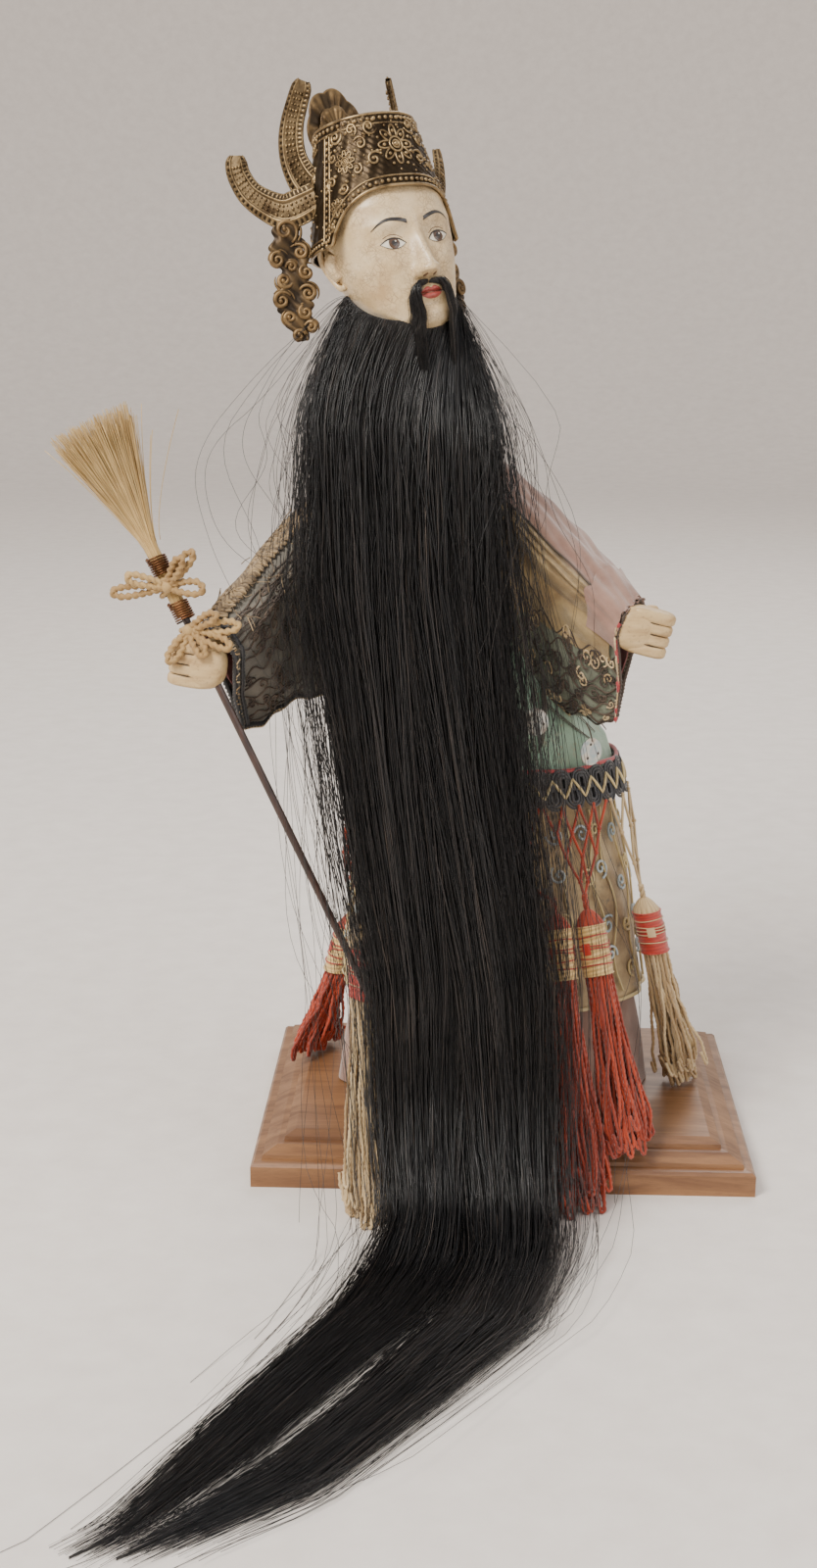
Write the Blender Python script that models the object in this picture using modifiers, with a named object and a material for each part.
"""Bearded theatre puppet in a tasselled robe, holding a fly whisk, on a wooden plinth.

The sizes below are in millimetres and the scene is in metres.  +Z is up, the puppet faces -Y,
and its own right hand is on the -X side.  The origin is the centre of the plinth's underside.
"""
from math import cos, pi, radians, sin

import bmesh
import bpy
from mathutils import Matrix, Vector

MM = 0.001
GAP = 0.3                          # clearance kept between pieces that touch
SEGMENTS = 20                      # facets round a body-sized piece
SMALL_SEGMENTS = 12                # facets round a pin, a limb or a cord

# Plinth: (inset, rise) steps from the edge slab up to the raised panel.
PLINTH_SIZE = (200.0, 150.0, 8.5)
PLINTH_STEPS = ((1.2, 1.2), (3.0, 0.4), (0.3, 1.6), (5.5, 2.6), (2.5, 0.5), (0.3, 1.5), (4.0, 1.7))
SOCKET_DEPTH = 8.0
SCREW_HEAD_RADIUS = 4.0
SCREW_SHANK_RADIUS = 1.6
SCREW_RECESS = 3.6
SCREW_TOP = 24.0

# Post that carries the figure; it leans to the puppet's right.
POST_FOOT = Vector((-12.0, 8.0, 18.0))
POST_HEAD = Vector((-45.0, 0.0, 336.0))
POST_RADIUS = 5.0
NECK_PIN_RADIUS = 4.0
NECK_PIN_LENGTH = 38.0

# Carved shoulder block.
TORSO_CENTRE = Vector((-38.4, 1.6, 272.0))
TORSO_HALF = (25.0, 13.0, 14.0)
TORSO_LEAN = 8.0
SHOULDER_OUT = 20.5

# Head frame: leaning with the body, turned to the puppet's left, chin a little raised.
HEAD_CENTRE = Vector((-48.0, -1.0, 360.0))
HEAD_HALF = (24.5, 25.0, 33.5)
HEAD_LEAN = 10.5
HEAD_TURN = 32.0
HEAD_PITCH = 8.0
NECK_RADIUS = 9.0
NECK_BOTTOM = 302.0

# Crown: its own lean, turned with the head and tilted back.
CROWN_CENTRE = Vector((-50.0, -1.0, 358.5))
CROWN_LEAN = 3.7
CROWN_PITCH = 14.3
CROWN_BOTTOM = 3.0
CROWN_TOP = 49.4
CROWN_BOTTOM_RADIUS = 28.5
CROWN_TOP_RADIUS = 19.1
CROWN_SHEET = 0.9
BROW_ARCH_TOP = 20.0
BROW_ARCH_HALF = 25.0
CREST_BASE = 46.0
CREST_STANDOFF = 2.4
CREST_THICKNESS = 1.2
OUTER_WING_ROOT = (28.0, 8.5, 24.5)
OUTER_WING_SWEEP = 40.0
UPPER_WING_ROOT = (22.5, 12.0, 37.0)
UPPER_WING_SWEEP = 55.0
WING_THICKNESS = 0.8

# Limbs: shoulder, elbow and wrist are pin joints.
ELBOW = {"right": Vector((-95.0, -22.0, 236.0)), "left": Vector((23.0, -14.0, 243.0))}
WRIST = {"right": Vector((-110.7, -37.1, 217.1)), "left": Vector((39.0, -27.0, 228.5))}
HAND = {"right": Vector((-120.2, -46.2, 205.8)), "left": Vector((51.0, -36.2, 219.3))}
HAND_SIZE = (23.0, 13.0, 18.5)
HAND_ROLL = {"right": 8.0, "left": -12.0}
ARM_RADIUS = 4.5
TONGUE_RADIUS = 2.7
FORK_WIDTH = 7.2
PIN_RADIUS = 1.1
SLEEVE_WALL = 1.2

# Fly whisk: a straight staff, bristles bound on with wire, two cord bows.
STAFF_FOOT = Vector((-46.5, -70.0, 66.0))
WHISK_ROOT = Vector((-139.0, -40.0, 251.0))
FAN_TOP = Vector((-161.0, -35.0, 296.0))
STAFF_RADIUS = 1.5
BUNDLE_RADIUS = 3.2
WIRE_THICKNESS = 0.8

# Cloth rings: height, centre x, centre y, half width, half depth.
ROBE_RINGS = (
    (300.0, -42.5, 1.0, 15.0, 14.0),
    (292.0, -42.0, 1.0, 24.0, 17.0),
    (282.0, -41.0, 2.0, 31.0, 19.0),
    (265.0, -38.0, 2.0, 31.0, 20.0),
    (250.0, -35.0, 2.0, 29.5, 21.0),
    (225.0, -28.0, 3.0, 29.0, 24.0),
    (195.0, -19.0, 3.0, 38.0, 30.0),
    (170.0, -11.0, 3.0, 49.0, 36.0),
    (150.0, -8.0, 3.0, 54.0, 39.0),
)
UNDERSKIRT_RINGS = ((157.0, -8.0, 3.0, 47.0, 33.5), (110.0, -6.0, 4.0, 56.5, 38.0), (62.0, -4.0, 4.0, 63.0, 43.0))
SKIRT_RINGS = ((100.0, -5.0, 4.0, 52.0, 34.0), (62.0, -4.0, 4.0, 58.0, 38.5), (18.4, -4.0, 4.0, 66.0, 45.0))
COLLAR_RINGS = ((312.5, -43.5, 0.5, 13.5, 13.5), (300.8, -42.5, 1.0, 14.5, 14.0))
TRIM_RINGS = ((161.5, -9.5, 3.0, 55.5, 40.8), (146.0, -7.7, 3.0, 57.5, 42.6))
CLOTH = 1.2

# Net panels under the trim: height, half width and half depth; the angle runs from +X towards -Y.
NET_RINGS = ((145.2, -7.5, 3.0, 58.5, 43.5), (116.0, -6.0, 3.0, 61.0, 46.5))
NET_ANGLES = {"right": (140.0, 205.0), "left": (-5.0, 90.0)}

# Wing centre lines as (outwards, upwards, half width).
OUTER_WING = ((2.0, 0.0, 5.0), (7.0, -1.0, 6.5), (14.0, 3.0, 5.5), (20.0, 9.0, 4.6), (23.0, 16.0, 4.0),
              (23.5, 23.0, 3.4))
UPPER_WING = ((2.0, 0.0, 5.0), (3.0, 8.0, 5.2), (2.5, 16.0, 5.2), (0.0, 23.0, 4.8), (-3.5, 29.0, 4.2),
              (-6.0, 33.0, 3.2))

# Other trim of the crown and dress.
SIDE_ORNAMENT_LINE = ((0.0, 4.0, 6.0), (1.0, -5.0, 7.5), (-0.5, -14.0, 7.0), (2.0, -23.0, 8.0),
                      (1.5, -31.0, 6.0), (1.5, -40.0, 3.0))
SIDE_ORNAMENT_ROOT = (34.0, 13.0, 13.0)
SIDE_ORNAMENT_TURN = 28.0           # degrees, rear edge swung outwards
SIDE_ORNAMENT_THICKNESS = 1.6
ARMHOLE_RADIUS = 16.0
ARMHOLE_REACH = (2.0, 40.0)         # along the arm from the shoulder
TRIM_WALL = 1.4
PEARL_CENTRE = Vector((33.0, -29.5, 169.0))
PEARL_FACING = Vector((0.62, -0.78, 0.05))
PEARL_RADIUS = 5.0
PEARL_HALF_THICKNESS = 0.5
BOW_RADIUS = 1.4
BOW_STANDOFF = 1.2
BOW_POINTS = 28

# Tassels: pivot, foot of the strings, spread of the foot (half width, half depth).
TASSELS = {
    "cream_left": (Vector((55.0, -24.0, 112.0)), Vector((77.0, -4.0, 24.0)), (9.0, 6.5)),
    "red_left": (Vector((31.0, -46.0, 114.5)), Vector((50.0, -72.0, 21.0)), (9.5, 5.0)),
    "red_centre": (Vector((18.5, -52.0, 114.5)), Vector((33.0, -89.0, 4.5)), (8.0, 5.0)),
    "cream_right": (Vector((-57.5, -42.0, 101.0)), Vector((-53.0, -101.0, 5.0)), (7.5, 5.0)),
    "red_right": (Vector((-64.0, 38.0, 84.0)), Vector((-82.0, 22.0, 23.0)), (13.0, 4.0)),
}
TASSEL_DROP = 5.5                  # from the pivot to the top of the tassel's head
TASSEL_HEAD_LENGTH = 26.0
TASSEL_RADIUS = 6.2

# Beard: height, centre y, left and right edge, half thickness of the hanging fall.
BEARD_ROOT_RINGS = ((324.0, -38.0, -17.5, 27.0, 5.5), (305.0, -40.0, -22.0, 32.0, 7.0))
BEARD_FALL = (
    (296.0, -29.0, -78.0, -6.0, 7.5),
    (235.0, -42.0, -74.0, -4.0, 8.5),
    (161.0, -58.5, -61.0, 4.0, 8.5),
    (88.0, -79.0, -48.0, 18.0, 7.0),
    (40.0, -98.0, -45.0, 21.0, 5.5),
    (13.0, -112.5, -43.0, 23.0, 4.5),
)
# Locks lying on the ground: centre x, centre y, half width, half height.
LOCKS = {
    "beard_lock_outer": ((-29.0, -125.0, 14.0, 4.5), (-44.0, -176.0, 14.0, 4.0), (-65.0, -214.0, 11.5, 3.5),
                         (-90.0, -261.0, 10.0, 2.8), (-111.0, -300.0, 6.0, 2.0), (-122.0, -315.0, 2.0, 1.0)),
    "beard_lock_inner": ((7.0, -125.0, 14.0, 4.5), (-5.0, -180.0, 14.0, 4.0), (-35.0, -231.0, 12.0, 3.5),
                         (-66.0, -271.0, 8.0, 2.5), (-93.0, -298.0, 3.0, 1.2)),
}

UP = Vector((0.0, 0.0, 1.0))
BACK = Vector((0.0, 1.0, 0.0))


# ---------------------------------------------------------------- helpers

def clear_scene():
    for item in list(bpy.data.objects):
        bpy.data.objects.remove(item, do_unlink=True)


def new_collection(name):
    group = bpy.data.collections.new(name)
    bpy.context.scene.collection.children.link(group)
    return group


def material(name, colour, roughness, metallic=0.0):
    mat = bpy.data.materials.new(name)
    mat.use_nodes = True
    shader = mat.node_tree.nodes["Principled BSDF"]
    shader.inputs["Base Color"].default_value = (*colour, 1.0)
    shader.inputs["Roughness"].default_value = roughness
    shader.inputs["Metallic"].default_value = metallic
    mat.diffuse_color = (*colour, 1.0)
    return mat


def add(name, data, mat, group=None):
    item = bpy.data.objects.new(name, data)
    (group or PARTS).objects.link(item)
    data.materials.append(mat)
    return item


def mesh_from(bm, name, smooth=False):
    bmesh.ops.recalc_face_normals(bm, faces=bm.faces)
    mesh = bpy.data.meshes.new(name)
    bm.to_mesh(mesh)
    bm.free()
    if smooth:
        mesh.shade_smooth()
        mesh.set_sharp_from_angle(angle=radians(40.0))
    return mesh


def along(direction, side=None):
    """Rotation whose Z axis is the direction and whose X axis is near the side vector."""
    z_axis = direction.normalized()
    x_axis = side if side is not None else (BACK if abs(z_axis.y) < 0.9 else UP)
    x_axis = (x_axis - x_axis.dot(z_axis) * z_axis).normalized()
    y_axis = z_axis.cross(x_axis)
    return Matrix((x_axis, y_axis, z_axis)).transposed().to_4x4()


def place(point, rotation=None):
    """Matrix in metres from a point in millimetres and a rotation."""
    turn = rotation if rotation is not None else Matrix.Identity(4)
    return Matrix.Translation(point * MM) @ turn


def cylinder(name, start, end, radius, mat, group=None, segments=SMALL_SEGMENTS):
    bm = bmesh.new()
    span = end - start
    bmesh.ops.create_cone(bm, cap_ends=True, segments=segments, radius1=radius * MM, radius2=radius * MM,
                          depth=span.length * MM)
    item = add(name, mesh_from(bm, name, True), mat, group)
    item.matrix_world = place((start + end) / 2.0, along(span))
    return item


def block(name, centre, size, mat, rotation=None, bevel=0.0, group=None):
    bm = bmesh.new()
    bmesh.ops.create_cube(bm, size=1.0)
    bmesh.ops.scale(bm, vec=Vector(size) * MM, verts=bm.verts)
    item = add(name, mesh_from(bm, name), mat, group)
    item.matrix_world = place(centre, rotation)
    if bevel:
        add_bevel(item, bevel, 2)
    return item


def add_bevel(item, width, segments):
    modifier = item.modifiers.new("Bevel", "BEVEL")
    modifier.width = width * MM
    modifier.segments = segments
    modifier.limit_method = "ANGLE"


def turned(name, profile, origin, direction, mat, segments=SEGMENTS, scale=(1.0, 1.0), side=None):
    """Turned solid: the profile lists (radius, height) from the top down its outer side."""
    bm = bmesh.new()
    points = [bm.verts.new((radius * MM, 0.0, height * MM)) for radius, height in profile]
    for upper, lower in zip(points, points[1:]):
        bm.edges.new((upper, lower))
    mesh = bpy.data.meshes.new(name)
    bm.to_mesh(mesh)
    bm.free()
    item = add(name, mesh, mat)
    screw = item.modifiers.new("Screw", "SCREW")
    screw.steps = segments
    screw.render_steps = segments
    screw.use_merge_vertices = True
    screw.merge_threshold = 0.00001
    screw.use_smooth_shade = True
    item.matrix_world = place(origin, along(direction, side)) @ Matrix.Diagonal((*scale, 1.0, 1.0))
    return item


def ellipse(centre, axis_a, axis_b, segments=SEGMENTS):
    """Points of an ellipse from its centre and its two half-axis vectors."""
    angles = [2.0 * pi * step / segments for step in range(segments)]
    return [centre + axis_a * cos(angle) + axis_b * sin(angle) for angle in angles]


def ring_faces(bm, rings, closed):
    rows = [[bm.verts.new(point * MM) for point in ring] for ring in rings]
    count = len(rows[0])
    last = count if closed else count - 1
    for upper, lower in zip(rows, rows[1:]):
        for index in range(last):
            after = (index + 1) % count
            bm.faces.new((upper[index], lower[index], lower[after], upper[after]))
    return rows


def loft(name, rings, mat):
    """Closed solid through a row of rings."""
    bm = bmesh.new()
    rows = ring_faces(bm, rings, True)
    bm.faces.new(rows[0])
    bm.faces.new(rows[-1])
    return add(name, mesh_from(bm, name, True), mat)


def shell(name, rings, wall, mat, closed=True):
    """Open tube or panel through a row of rings, thickened inwards."""
    bm = bmesh.new()
    ring_faces(bm, rings, closed)
    mesh = bpy.data.meshes.new(name)
    bm.to_mesh(mesh)
    bm.free()
    mesh.shade_smooth()
    item = add(name, mesh, mat)
    solid = item.modifiers.new("Solidify", "SOLIDIFY")
    solid.thickness = wall * MM
    solid.offset = -1.0
    return item


def level_rings(rows, segments=SEGMENTS):
    """Level ellipses from rows of height, centre x, centre y, half width, half depth."""
    return [ellipse(Vector((x, y, z)), Vector((a, 0.0, 0.0)), Vector((0.0, b, 0.0)), segments)
            for z, x, y, a, b in rows]


def plate(name, outline, thickness, matrix, mat):
    """Flat plate from an outline in the matrix's XZ plane."""
    curve = bpy.data.curves.new(name, "CURVE")
    curve.dimensions = "2D"
    curve.fill_mode = "BOTH"
    curve.extrude = thickness / 2.0 * MM
    spline = curve.splines.new("POLY")
    spline.points.add(len(outline) - 1)
    for point, (x, z) in zip(spline.points, outline):
        point.co = (x * MM, z * MM, 0.0, 1.0)
    spline.use_cyclic_u = True
    item = add(name, curve, mat)
    item.matrix_world = matrix @ Matrix.Rotation(radians(90.0), 4, "X")
    return item


def tube(name, points, radius, mat, cyclic=False, radii=None):
    curve = bpy.data.curves.new(name, "CURVE")
    curve.dimensions = "3D"
    curve.bevel_depth = radius * MM
    curve.bevel_resolution = 2
    curve.resolution_u = 1
    curve.use_fill_caps = True
    spline = curve.splines.new("POLY")
    spline.points.add(len(points) - 1)
    for index, point in enumerate(points):
        spline.points[index].co = (*(point * MM), 1.0)
        spline.points[index].radius = radii[index] if radii else 1.0
    spline.use_cyclic_u = cyclic
    return add(name, curve, mat)


def boolean(item, tool, operation="DIFFERENCE"):
    modifier = item.modifiers.new(tool.name, "BOOLEAN")
    modifier.operation = operation
    modifier.solver = "EXACT"
    modifier.object = tool
    tool.hide_render = True
    tool.display_type = "WIRE"


def cut_bore(item, start, end, radius, segments=SMALL_SEGMENTS):
    tool = cylinder(item.name + "_bore", start, end, radius, CUT_MATERIAL, CUTTERS, segments)
    boolean(item, tool)


def smooth_path(points, steps=4):
    """Catmull-Rom curve through the points."""
    path = []
    padded = [points[0], *points, points[-1]]
    for before, start, end, after in zip(padded, padded[1:], padded[2:], padded[3:]):
        for step in range(steps):
            t = step / steps
            path.append(0.5 * (2.0 * start + (end - before) * t
                               + (2.0 * before - 5.0 * start + 4.0 * end - after) * t * t
                               + (3.0 * start - before - 3.0 * end + after) * t * t * t))
    path.append(points[-1])
    return path


# ---------------------------------------------------------------- derived frames

POST_AXIS = (POST_HEAD - POST_FOOT).normalized()
TORSO_TURN = Matrix.Rotation(radians(-TORSO_LEAN), 4, "Y")
HEAD_ROTATION = (Matrix.Rotation(radians(-HEAD_LEAN), 4, "Y") @ Matrix.Rotation(radians(HEAD_TURN), 4, "Z")
                 @ Matrix.Rotation(radians(-HEAD_PITCH), 4, "X"))
CROWN_ROTATION = (Matrix.Rotation(radians(-CROWN_LEAN), 4, "Y") @ Matrix.Rotation(radians(HEAD_TURN), 4, "Z")
                  @ Matrix.Rotation(radians(-CROWN_PITCH), 4, "X"))
SHOULDER = {"right": TORSO_CENTRE + TORSO_TURN.to_3x3() @ Vector((-SHOULDER_OUT, 0.0, 0.0)),
            "left": TORSO_CENTRE + TORSO_TURN.to_3x3() @ Vector((SHOULDER_OUT, 0.0, 0.0))}
STAFF_AXIS = (WHISK_ROOT - STAFF_FOOT).normalized()


def head_point(x, y, z):
    return HEAD_CENTRE + HEAD_ROTATION.to_3x3() @ Vector((x, y, z))


def post_point(height):
    """Point on the post's axis at a height above the ground."""
    return POST_FOOT + POST_AXIS * ((height - POST_FOOT.z) / POST_AXIS.z)


def pin_axis(direction):
    """Pin direction nearest to front-to-back and square to the limb."""
    return (BACK - BACK.dot(direction) * direction).normalized()


# ---------------------------------------------------------------- stand

def make_plinth():
    height = PLINTH_SIZE[2]
    bm = bmesh.new()
    bmesh.ops.create_cube(bm, size=1.0)
    bmesh.ops.scale(bm, vec=Vector(PLINTH_SIZE) * MM, verts=bm.verts)
    bmesh.ops.translate(bm, vec=Vector((0.0, 0.0, height / 2.0)) * MM, verts=bm.verts)
    top = max(bm.faces, key=lambda face: face.calc_center_median().z)
    for inset, rise in PLINTH_STEPS:
        bmesh.ops.inset_region(bm, faces=[top], thickness=inset * MM, use_even_offset=True)
        bmesh.ops.translate(bm, vec=Vector((0.0, 0.0, rise * MM)), verts=top.verts)
    item = add("base_plinth", mesh_from(bm, "base_plinth"), WOOD)
    top_z = height + sum(rise for _, rise in PLINTH_STEPS)
    cut_bore(item, post_point(top_z - SOCKET_DEPTH), post_point(top_z + 10.0), POST_RADIUS + 2.0 * GAP)
    foot = post_point(top_z - SOCKET_DEPTH)
    cut_bore(item, Vector((foot.x, foot.y, -5.0)), Vector((foot.x, foot.y, SCREW_RECESS)), SCREW_HEAD_RADIUS + GAP)
    cut_bore(item, Vector((foot.x, foot.y, 1.0)), Vector((foot.x, foot.y, top_z - 4.0)), SCREW_SHANK_RADIUS + GAP)
    return top_z, foot


def make_post(top_z, foot):
    start = post_point(top_z - SOCKET_DEPTH + 1.0)
    length = (POST_HEAD - start).length
    shoulder = length - NECK_PIN_LENGTH
    profile = ((0.0, length), (NECK_PIN_RADIUS, length), (NECK_PIN_RADIUS, shoulder), (POST_RADIUS, shoulder),
               (POST_RADIUS, 0.0), (0.0, 0.0))
    post = turned("support_post", profile, start, POST_AXIS, DARK_WOOD, SMALL_SEGMENTS)
    cut_bore(post, Vector((foot.x, foot.y, 5.0)), Vector((foot.x, foot.y, SCREW_TOP + 1.0)),
             SCREW_SHANK_RADIUS + GAP)
    head_top = SCREW_RECESS - GAP
    profile = ((0.0, SCREW_TOP), (SCREW_SHANK_RADIUS, SCREW_TOP - 2.0), (SCREW_SHANK_RADIUS, head_top),
               (SCREW_HEAD_RADIUS, head_top), (SCREW_HEAD_RADIUS, 1.0), (0.0, 1.0))
    turned("post_screw", profile, Vector((foot.x, foot.y, 0.0)), UP, STEEL, SMALL_SEGMENTS)


def make_torso():
    half_x, half_y, half_z = TORSO_HALF
    profile = ((0.0, half_z), (half_x - 4.0, half_z), (half_x, half_z - 4.0), (half_x, 4.0 - half_z),
               (half_x - 4.0, -half_z), (0.0, -half_z))
    lean = TORSO_TURN.to_3x3() @ UP
    torso = turned("torso_block", profile, TORSO_CENTRE, lean, PALE_WOOD, SEGMENTS, (half_y / half_x, 1.0), BACK)
    cut_bore(torso, post_point(TORSO_CENTRE.z - 25.0), post_point(TORSO_CENTRE.z + 25.0), POST_RADIUS + GAP)
    for side in ("right", "left"):
        direction = (ELBOW[side] - SHOULDER[side]).normalized()
        axis = pin_axis(direction)
        slot = block("shoulder_slot_" + side, SHOULDER[side] + direction * 12.0, (FORK_WIDTH, 40.0, 36.0),
                     CUT_MATERIAL, along(direction, axis), 0.0, CUTTERS)
        boolean(torso, slot)
        cut_bore(torso, SHOULDER[side] - axis * 30.0, SHOULDER[side] + axis * 30.0, PIN_RADIUS + GAP)
        cylinder("shoulder_pin_" + side, SHOULDER[side] - axis * 10.0, SHOULDER[side] + axis * 10.0, PIN_RADIUS,
                 STEEL)


# ---------------------------------------------------------------- arms and sleeves

def make_arm(side):
    shoulder, elbow, wrist = SHOULDER[side], ELBOW[side], WRIST[side]
    upper, fore = (elbow - shoulder).normalized(), (wrist - elbow).normalized()
    length = (elbow - shoulder).length
    thin = TONGUE_RADIUS
    profile = ((0.0, length + 3.0), (thin, length + 3.0), (thin, length - 7.0), (ARM_RADIUS, length - 9.0),
               (ARM_RADIUS, 17.0), (thin, 14.0), (thin, -3.0), (0.0, -3.0))
    arm = turned("upper_arm_" + side, profile, shoulder, upper, PALE_WOOD, SMALL_SEGMENTS)
    elbow_axis, shoulder_axis, wrist_axis = pin_axis(fore), pin_axis(upper), pin_axis(fore)
    cut_bore(arm, shoulder - shoulder_axis * 8.0, shoulder + shoulder_axis * 8.0, PIN_RADIUS + GAP, 8)
    cut_bore(arm, elbow - elbow_axis * 8.0, elbow + elbow_axis * 8.0, PIN_RADIUS + GAP, 8)

    length = (wrist - elbow).length
    profile = ((0.0, length + 3.0), (5.0, length + 3.0), (5.0, -3.0), (0.0, -3.0))
    forearm = turned("forearm_" + side, profile, elbow, fore, PALE_WOOD, SMALL_SEGMENTS)
    for name, centre, axis, reach in (("elbow", elbow, elbow_axis, 1.5), ("wrist", wrist, wrist_axis, -1.5)):
        slot = block(name + "_slot_" + side, centre - fore * reach, (FORK_WIDTH, 30.0, 14.0), CUT_MATERIAL,
                     along(fore, axis), 0.0, CUTTERS)
        boolean(forearm, slot)
        cut_bore(forearm, centre - axis * 8.0, centre + axis * 8.0, PIN_RADIUS + GAP, 8)
        cylinder(name + "_pin_" + side, centre - axis * 4.6, centre + axis * 4.6, PIN_RADIUS, STEEL, None, 8)


def make_hand(side):
    wrist, centre = WRIST[side], HAND[side]
    fore = (wrist - ELBOW[side]).normalized()
    hand = block("hand_" + side, centre, HAND_SIZE, SKIN, Matrix.Rotation(radians(HAND_ROLL[side]), 4, "Y"), 4.5)
    tongue = cylinder("hand_tongue_" + side, wrist - fore * 3.0, centre, TONGUE_RADIUS, SKIN, CUTTERS)
    boolean(hand, tongue, "UNION")
    axis = pin_axis(fore)
    cut_bore(hand, wrist - axis * 8.0, wrist + axis * 8.0, PIN_RADIUS + GAP, 8)
    if side == "right":
        cut_bore(hand, centre_on_staff(centre) - STAFF_AXIS * 25.0, centre_on_staff(centre) + STAFF_AXIS * 25.0,
                 STAFF_RADIUS + GAP, 8)


def centre_on_staff(point):
    return STAFF_FOOT + STAFF_AXIS * (point - STAFF_FOOT).dot(STAFF_AXIS)


def sleeve_ring(point, direction, half_drop, offset, half_width):
    """Ring round a limb that hangs lower than it reaches above."""
    drop = (-UP - (-UP).dot(direction) * direction).normalized()
    across = direction.cross(drop)
    return ellipse(point + drop * offset, drop * half_drop, across * half_width, 16)


def make_sleeves(side, mat):
    shoulder, elbow, wrist = SHOULDER[side], ELBOW[side], WRIST[side]
    upper, fore = (elbow - shoulder).normalized(), (wrist - elbow).normalized()
    deep = 1.0 if side == "right" else 0.88
    rings = [sleeve_ring(shoulder + upper * 18.0, upper, 10.0 * deep, 2.0 * deep, 9.0),
             sleeve_ring(elbow - upper * 5.0, upper, 17.0 * deep, 8.5 * deep, 10.0)]
    shell("upper_sleeve_" + side, rings, SLEEVE_WALL, mat)
    rings = [sleeve_ring(elbow + fore * 4.5, fore, 18.0 * deep, 9.5 * deep, 10.5),
             sleeve_ring(wrist - fore * 5.0, fore, 20.5 * deep, 12.0 * deep, 12.0)]
    shell("lower_sleeve_" + side, rings, SLEEVE_WALL, mat)


# ---------------------------------------------------------------- robe

def make_robe():
    robe = shell("robe_body", level_rings(ROBE_RINGS), CLOTH, SILK)
    for side in ("right", "left"):
        direction = (ELBOW[side] - SHOULDER[side]).normalized()
        start, end = (SHOULDER[side] + direction * reach for reach in ARMHOLE_REACH)
        cut_bore(robe, start, end, ARMHOLE_RADIUS)
    shell("collar", level_rings(COLLAR_RINGS, 16), CLOTH, SILK)
    shell("trim_braid", level_rings(TRIM_RINGS, 28), TRIM_WALL, BLACK_BRAID)
    shell("underskirt", level_rings(UNDERSKIRT_RINGS), CLOTH, BROCADE)
    shell("skirt", level_rings(SKIRT_RINGS), CLOTH, WOOL)
    for side, (first, last) in NET_ANGLES.items():
        make_net(side, first, last)
    half = PEARL_HALF_THICKNESS
    profile = ((0.0, half), (PEARL_RADIUS, half), (PEARL_RADIUS, -half), (0.0, -half))
    turned("pearl_disc", profile, PEARL_CENTRE, PEARL_FACING, PEARL, SMALL_SEGMENTS)


def make_net(side, first, last):
    steps = 10
    rings = []
    for z, x, y, a, b in reversed(NET_RINGS):
        angles = [radians(first + (last - first) * step / steps) for step in range(steps + 1)]
        rings.append([Vector((x - a * cos(angle), y - b * sin(angle), z)) for angle in angles])
    shell("net_" + side, rings, 1.0, CREAM_CORD if side == "right" else RED_CORD, False)


def make_tassel(name, pivot, foot, spread):
    """Bound head and the strings that fall from it to the foot."""
    cord = RED_CORD if name.startswith("red") else CREAM_CORD
    down = (Vector((foot.x, foot.y, 0.0)) - Vector((pivot.x, pivot.y, 0.0))) * 0.12 - UP * 26.0
    down.normalize()
    head_top = pivot + down * TASSEL_DROP
    radius = TASSEL_RADIUS
    profile = ((0.0, 0.0), (0.45 * radius, -0.6), (0.85 * radius, -2.5), (radius, -6.0),
               (radius, -TASSEL_HEAD_LENGTH), (0.0, -TASSEL_HEAD_LENGTH))
    turned("tassel_head_" + name, profile, head_top, -down, cord, 14)
    start = head_top + down * (TASSEL_HEAD_LENGTH + GAP)
    outward = (foot - pivot - (foot - pivot).dot(UP) * UP).normalized()
    tangent = UP.cross(outward)
    square = down.cross(tangent)
    middle = start.lerp(foot, 0.5) + Vector((0.0, 0.0, -3.0))
    rings = [ellipse(start, tangent * radius * 0.9, square * radius * 0.9, 12),
             ellipse(middle, tangent * (radius + spread[0]) * 0.5, outward * radius, 12),
             ellipse(foot, tangent * spread[0], outward * spread[1], 12)]
    loft("tassel_strings_" + name, rings, cord)


# ---------------------------------------------------------------- head, crown and beard

def make_head():
    half_x, half_y, half_z = HEAD_HALF
    bm = bmesh.new()
    bmesh.ops.create_uvsphere(bm, u_segments=20, v_segments=14, radius=1.0)
    for vert in bm.verts:
        below = max(0.0, -vert.co.z)
        vert.co.x *= 1.0 - 0.22 * below ** 2
        vert.co.y = vert.co.y * (1.0 - 0.15 * below) - 0.16 * below ** 2
    bmesh.ops.scale(bm, vec=Vector((half_x, half_y, half_z)) * MM, verts=bm.verts)
    head = add("head", mesh_from(bm, "head", True), SKIN)
    head.matrix_world = place(HEAD_CENTRE, HEAD_ROTATION)
    neck = cylinder("neck", post_point(NECK_BOTTOM), post_point(345.0), NECK_RADIUS, SKIN, CUTTERS, 16)
    boolean(head, neck, "UNION")
    cut_bore(head, post_point(NECK_BOTTOM - 10.0), POST_HEAD + POST_AXIS * 1.0, NECK_PIN_RADIUS + GAP)


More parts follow.
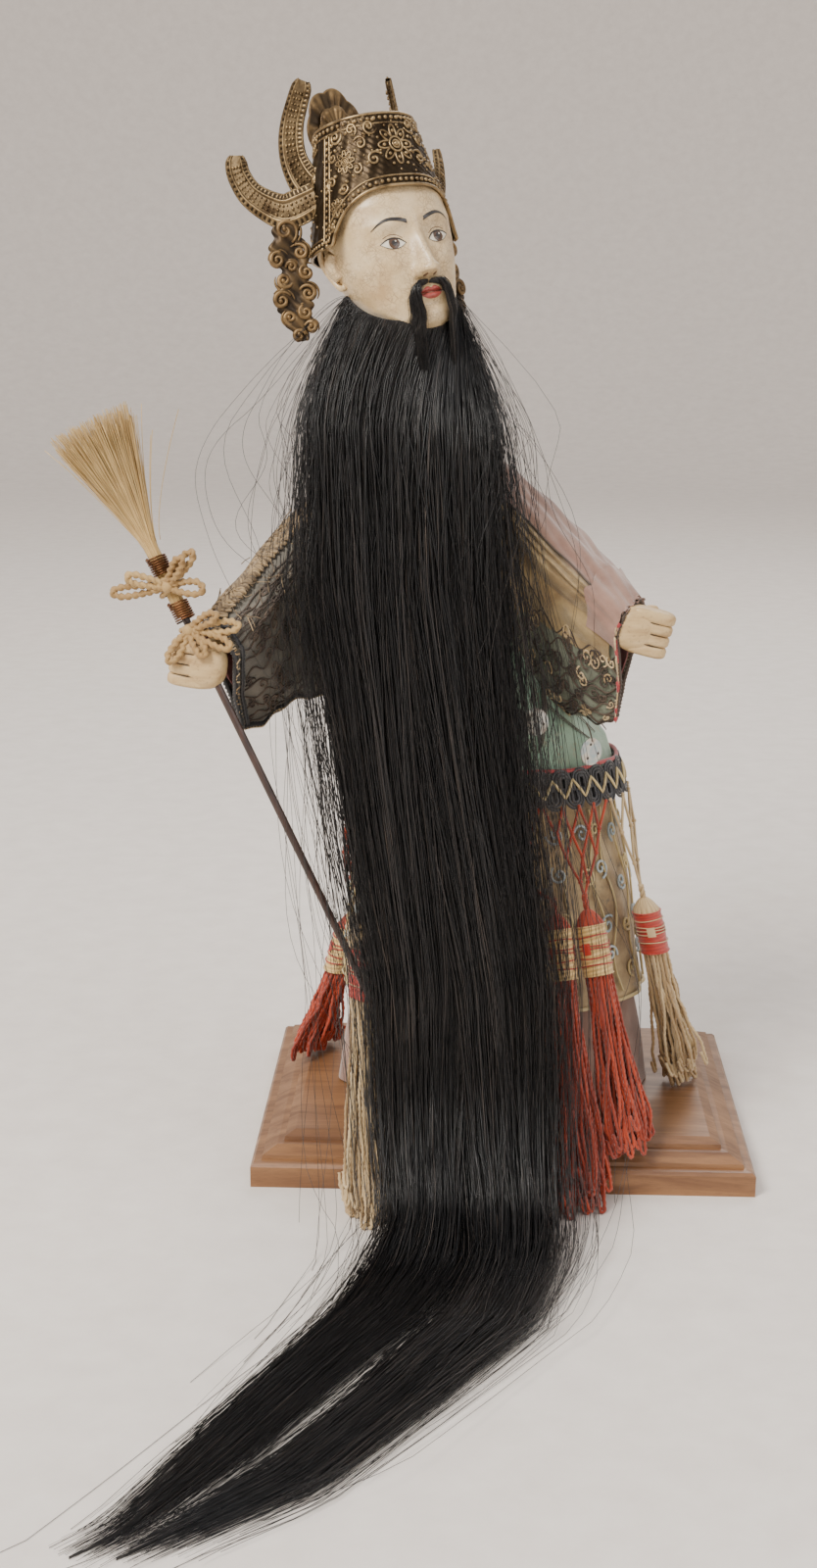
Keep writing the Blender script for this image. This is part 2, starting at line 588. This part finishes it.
def make_crown():
    matrix = place(CROWN_CENTRE, CROWN_ROTATION)
    rings = []
    for share in (0.0, 0.35, 0.7, 1.0):
        height = CROWN_TOP + (CROWN_BOTTOM - CROWN_TOP) * share
        radius = CROWN_TOP_RADIUS + (CROWN_BOTTOM_RADIUS - CROWN_TOP_RADIUS) * share
        rings.append(ellipse(Vector((0.0, 0.0, height)), Vector((radius, 0.0, 0.0)), Vector((0.0, radius, 0.0)), 28))
    band = shell("crown_band", rings, CROWN_SHEET, BRONZE)
    band.matrix_world = matrix
    bm = bmesh.new()
    bmesh.ops.create_cone(bm, cap_ends=True, segments=24, radius1=1.0 * MM, radius2=1.0 * MM, depth=60.0 * MM)
    scale = Vector((BROW_ARCH_HALF, BROW_ARCH_TOP, 1.0))
    bmesh.ops.scale(bm, vec=scale, verts=bm.verts)
    arch = add("brow_arch", mesh_from(bm, "brow_arch"), CUT_MATERIAL, CUTTERS)
    arch.matrix_world = matrix @ place(Vector((0.0, -30.0, 0.0)), Matrix.Rotation(radians(90.0), 4, "X"))
    boolean(band, arch)
    make_crest(matrix)
    for side, sign in (("right", -1.0), ("left", 1.0)):
        make_wing(matrix, side, sign, "outer", OUTER_WING_SWEEP, OUTER_WING, OUTER_WING_ROOT)
        make_wing(matrix, side, sign, "upper", UPPER_WING_SWEEP, UPPER_WING, UPPER_WING_ROOT)
        make_side_ornament(matrix, side, sign)


def offset_outline(line):
    """Outline of a tapering strip from its centre line and half widths."""
    left, right = [], []
    for index, (x, z, half) in enumerate(line):
        before = line[max(index - 1, 0)]
        after = line[min(index + 1, len(line) - 1)]
        run = Vector((after[0] - before[0], after[1] - before[1])).normalized()
        left.append((x - run.y * half, z + run.x * half))
        right.append((x + run.y * half, z - run.x * half))
    return left + right[::-1]


def make_wing(matrix, side, sign, kind, sweep, line, root):
    outline = [(sign * x, z) for x, z in offset_outline(line)]
    turn = Matrix.Rotation(sign * radians(sweep), 4, "Z")
    foot = Vector((sign * root[0], root[1], root[2]))
    plate("crown_wing_" + kind + "_" + side, outline, WING_THICKNESS, matrix @ place(foot, turn), BRONZE)


def make_crest(matrix):
    """Palmette of rounded lobes standing behind the band."""
    lobes = 5
    outline = [(9.0, 0.0), (-9.0, 0.0)]
    for lobe in range(lobes):
        for step in range(4):
            angle = pi - pi * (lobe + step / 3.0 * 0.92 + 0.04) / lobes
            swell = 1.0 + 0.16 * sin(pi * step / 3.0)
            outline.append((10.5 * cos(angle) * swell, 9.0 + 14.5 * sin(angle) * swell))
    foot = Vector((0.0, CROWN_TOP_RADIUS + CREST_STANDOFF, CREST_BASE))
    plate("crown_crest", outline, CREST_THICKNESS, matrix @ place(foot), BRONZE)


def make_side_ornament(matrix, side, sign):
    """Scrolled pendant plate that hangs behind the cheek."""
    outline = [(sign * x, z) for x, z in offset_outline(SIDE_ORNAMENT_LINE)]
    turn = Matrix.Rotation(sign * radians(SIDE_ORNAMENT_TURN), 4, "Z")
    across, back, up = SIDE_ORNAMENT_ROOT
    root = place(Vector((sign * across, back, up)), turn)
    plate("side_ornament_" + side, outline, SIDE_ORNAMENT_THICKNESS, matrix @ root, BRONZE)


def make_beard():
    rings = [ellipse(Vector((x, y, z)), Vector((a, 0.0, 0.0)), Vector((0.0, b, 0.0)), 20)
             for z, x, y, a, b in BEARD_ROOT_RINGS]
    loft("beard_root", rings, HAIR)
    rings = []
    for z, y, left, right, thick in BEARD_FALL:
        half = (right - left) / 2.0
        rings.append(ellipse(Vector((left + half, y, z)), Vector((half, 0.0, 0.0)), Vector((0.0, thick, 0.0)), 20))
    loft("beard_fall", rings, HAIR)
    for name, line in LOCKS.items():
        make_lock(name, line)
    for side, sign in (("right", -1.0), ("left", 1.0)):
        local = ((2.6, -28.0, -13.5), (6.5, -27.5, -14.5), (9.5, -27.0, -19.0), (9.5, -27.5, -25.0),
                 (8.5, -28.5, -30.5))
        path = smooth_path([head_point(sign * x, y, z) for x, y, z in local], 3)
        tube("moustache_" + side, path, 1.3, HAIR)


def make_lock(name, line):
    rings = []
    for index, (x, y, half, thick) in enumerate(line):
        before = line[max(index - 1, 0)]
        after = line[min(index + 1, len(line) - 1)]
        run = Vector((after[0] - before[0], after[1] - before[1], 0.0)).normalized()
        across = run.cross(UP)
        rings.append(ellipse(Vector((x, y, thick + GAP)), across * half, UP * thick, 14))
    loft(name, rings, HAIR)


# ---------------------------------------------------------------- fly whisk

def make_whisk():
    length = (WHISK_ROOT - STAFF_FOOT).length
    cylinder("whisk_staff", STAFF_FOOT, STAFF_FOOT + STAFF_AXIS * (length - 6.0), STAFF_RADIUS, DARK_WOOD, None, 10)
    side = STAFF_AXIS.cross(BACK).normalized()
    front = side.cross(STAFF_AXIS)
    root = STAFF_FOOT + STAFF_AXIS * (length - 30.0)
    fan_axis = (FAN_TOP - WHISK_ROOT).normalized()
    fan_side = fan_axis.cross(BACK).normalized()
    rings = [ellipse(root, side * BUNDLE_RADIUS, front * BUNDLE_RADIUS, 14),
             ellipse(WHISK_ROOT, side * BUNDLE_RADIUS, front * BUNDLE_RADIUS, 14),
             ellipse(WHISK_ROOT.lerp(FAN_TOP, 0.45), fan_side * 8.5, front * 4.5, 14),
             ellipse(FAN_TOP, fan_side * 16.0, front * 6.0, 14)]
    bristles = loft("whisk_bristles", rings, STRAW)
    cut_bore(bristles, root - STAFF_AXIS * 5.0, STAFF_FOOT + STAFF_AXIS * (length - 5.5), STAFF_RADIUS + GAP, 10)
    for name, at in (("upper", length - 9.0), ("lower", length - 28.0)):
        inner = BUNDLE_RADIUS + GAP
        outer = inner + WIRE_THICKNESS
        profile = ((inner, 8.0), (outer, 8.0), (outer, 0.0), (inner, 0.0), (inner, 8.0))
        turned("wire_binding_" + name, profile, STAFF_FOOT + STAFF_AXIS * at, STAFF_AXIS, COPPER, 16)
    make_bow("raffia_bow_upper", STAFF_FOOT + STAFF_AXIS * (length - 14.5), side, front, 17.0, 35.0)
    make_bow("raffia_bow_lower", STAFF_FOOT + STAFF_AXIS * (length - 33.5), side, front, 14.0, 20.0)


def make_bow(name, centre, side, front, reach, lift):
    """Cord loop laced round the whisk, drawn out to a bow on either side."""
    half_depth = BUNDLE_RADIUS + BOW_RADIUS + GAP + BOW_STANDOFF
    slant = side * cos(radians(lift)) + STAFF_AXIS * sin(radians(lift))
    points = []
    for step in range(BOW_POINTS):
        angle = 2.0 * pi * step / BOW_POINTS
        points.append(centre + slant * reach * cos(angle) + front * half_depth * sin(angle))
    tube(name, points, BOW_RADIUS, RAFFIA, True)


# ---------------------------------------------------------------- build

clear_scene()
PARTS = new_collection("theatre_puppet")
CUTTERS = new_collection("cutters")

WOOD = material("stained_wood", (0.33, 0.16, 0.07), 0.4)
DARK_WOOD = material("dark_wood", (0.07, 0.035, 0.025), 0.45)
PALE_WOOD = material("pale_wood", (0.62, 0.46, 0.28), 0.6)
SKIN = material("painted_wood", (0.72, 0.58, 0.40), 0.45)
STEEL = material("steel", (0.5, 0.5, 0.5), 0.35, 1.0)
BRONZE = material("bronze_sheet", (0.30, 0.21, 0.11), 0.4, 1.0)
COPPER = material("copper_wire", (0.42, 0.20, 0.10), 0.4, 1.0)
HAIR = material("black_hair", (0.012, 0.011, 0.011), 0.5)
SILK = material("mint_silk", (0.42, 0.50, 0.38), 0.6)
GREY_SILK = material("grey_silk", (0.16, 0.14, 0.11), 0.65)
MAUVE_WOOL = material("mauve_wool", (0.42, 0.24, 0.21), 0.85)
WOOL = material("skirt_wool", (0.38, 0.20, 0.20), 0.85)
BROCADE = material("gold_brocade", (0.45, 0.32, 0.16), 0.6)
BLACK_BRAID = material("black_braid", (0.012, 0.012, 0.013), 0.6)
RED_CORD = material("red_cord", (0.50, 0.05, 0.025), 0.6)
CREAM_CORD = material("cream_cord", (0.62, 0.47, 0.27), 0.7)
RAFFIA = material("raffia", (0.68, 0.48, 0.24), 0.65)
STRAW = material("straw", (0.66, 0.46, 0.21), 0.6)
PEARL = material("mother_of_pearl", (0.75, 0.70, 0.60), 0.2)
CUT_MATERIAL = material("cutter", (1.0, 0.0, 1.0), 0.5)

PLINTH_TOP, POST_SOCKET = make_plinth()
make_post(PLINTH_TOP, POST_SOCKET)
make_torso()
for arm_side, cloth in (("right", GREY_SILK), ("left", MAUVE_WOOL)):
    make_arm(arm_side)
    make_hand(arm_side)
    make_sleeves(arm_side, cloth)
make_robe()
for tassel, (tassel_pivot, tassel_foot, tassel_spread) in TASSELS.items():
    make_tassel(tassel, tassel_pivot, tassel_foot, tassel_spread)
make_head()
make_crown()
make_beard()
make_whisk()
